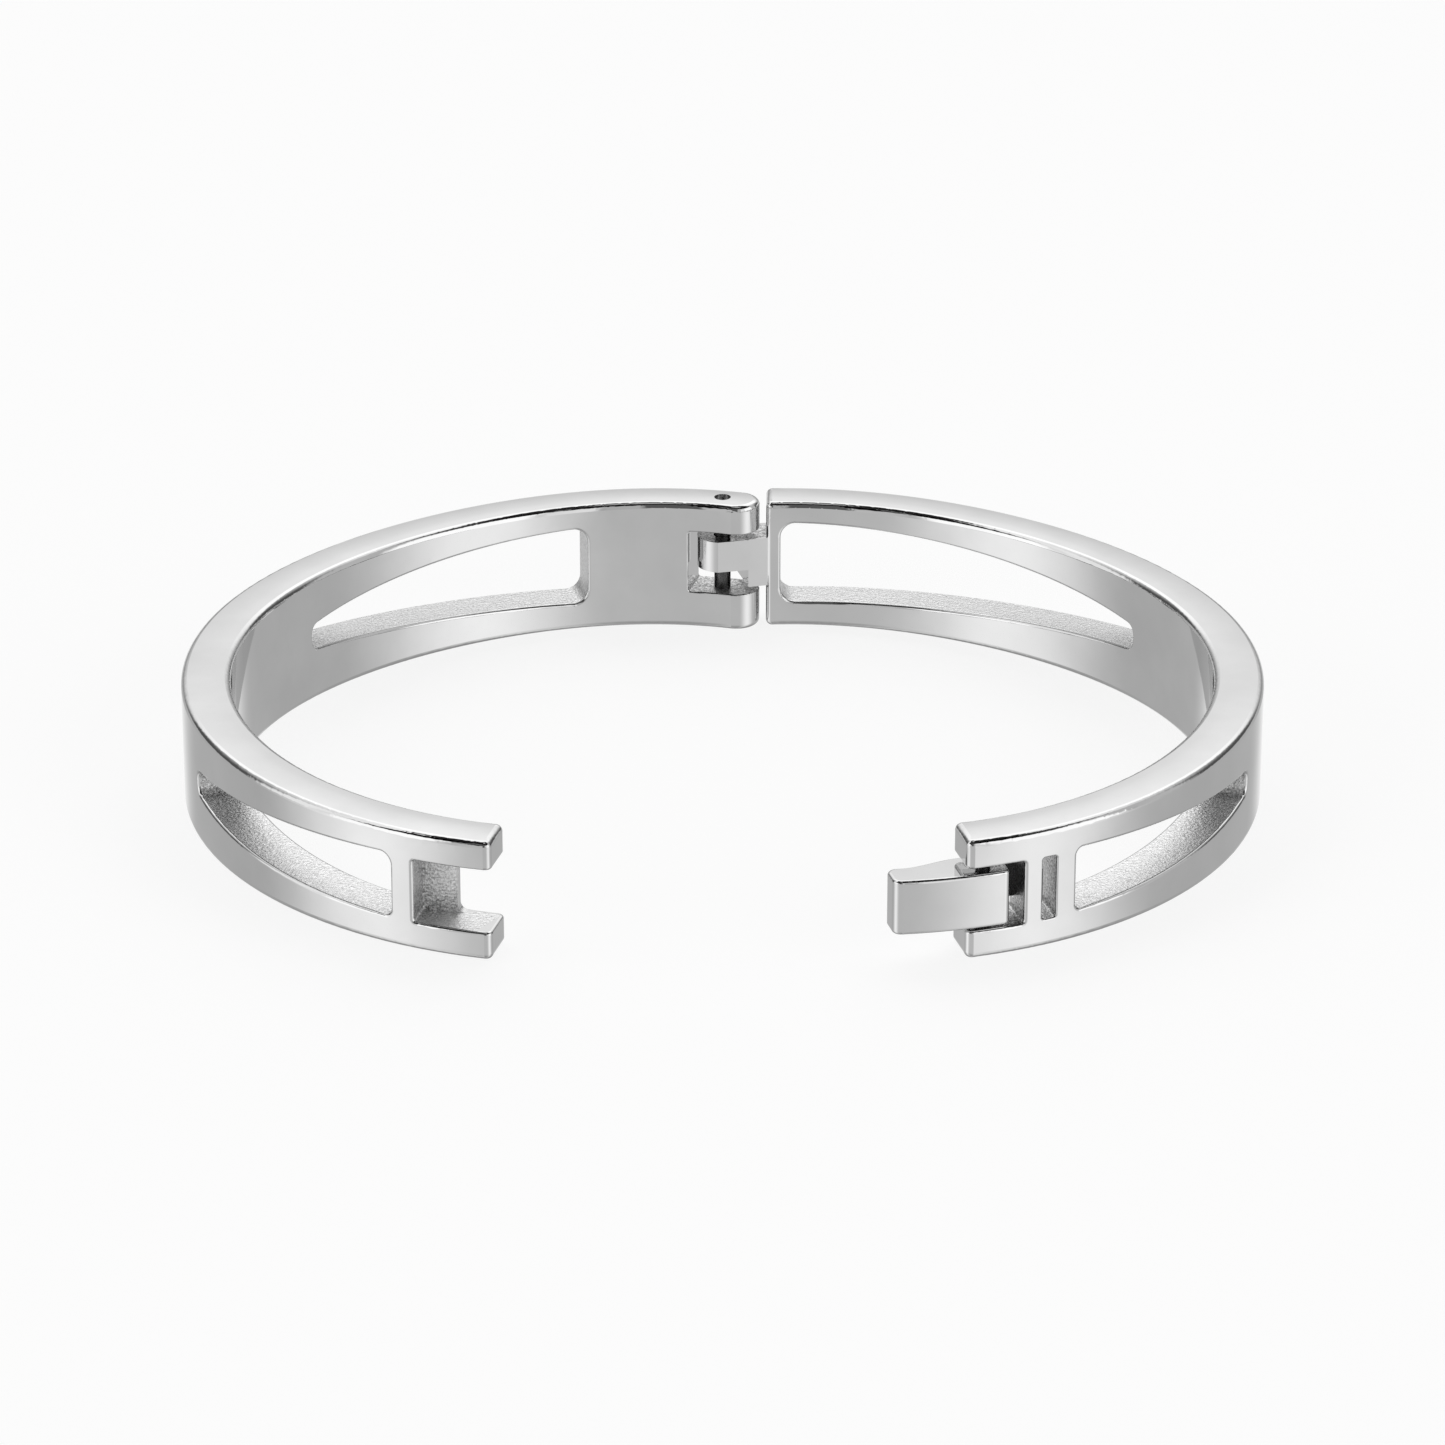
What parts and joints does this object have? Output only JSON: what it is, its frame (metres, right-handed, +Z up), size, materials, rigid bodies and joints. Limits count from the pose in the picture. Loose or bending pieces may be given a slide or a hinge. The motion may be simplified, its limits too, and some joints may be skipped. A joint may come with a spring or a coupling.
{
  "type": "hinged bangle bracelet",
  "caption": "Open hinged bangle bracelet in polished silver-coloured steel, oval, with tapering cut-out windows, a pinned hinge and a sprung tongue clasp.",
  "frame": {"origin": "middle of the open bangle's box, on the level it rests on", "axes": "+Z up, along the hinge pin; +X to the half that carries the latch, across the opening; -Y from the hinge to the clasp"},
  "size_m": [0.0696, 0.0592, 0.0092],
  "materials": {
    "polished_steel": "mirror polished stainless steel, fine cast grain on the cut walls",
    "pin_steel": "bright drawn steel wire",
    "spring_steel": "rolled spring strip"
  },
  "bodies": {
    "left_half": {"left_band": "polished_steel", "hinge_pin": "pin_steel"},
    "right_half": {"right_band": "polished_steel", "latch_pin": "pin_steel", "latch_spring": "spring_steel"},
    "latch": {"latch_tongue": "polished_steel"}
  },
  "joints": [
    {"name": "main_hinge", "type": "hinge", "parent": "left_half", "child": "right_half", "pos_m": [0, 0.02745, 0.0046], "axis": [0, 0, 1], "range_deg": [-28.2, 40]},
    {"name": "latch_pivot", "type": "hinge", "parent": "right_half", "child": "latch", "pos_m": [0.01576, -0.02686, 0.0038], "axis": [0, 0, 1], "range_deg": [0, 8], "stiffness_Nm_per_rad": 0.02, "springref_deg": -2.86}
  ]
}
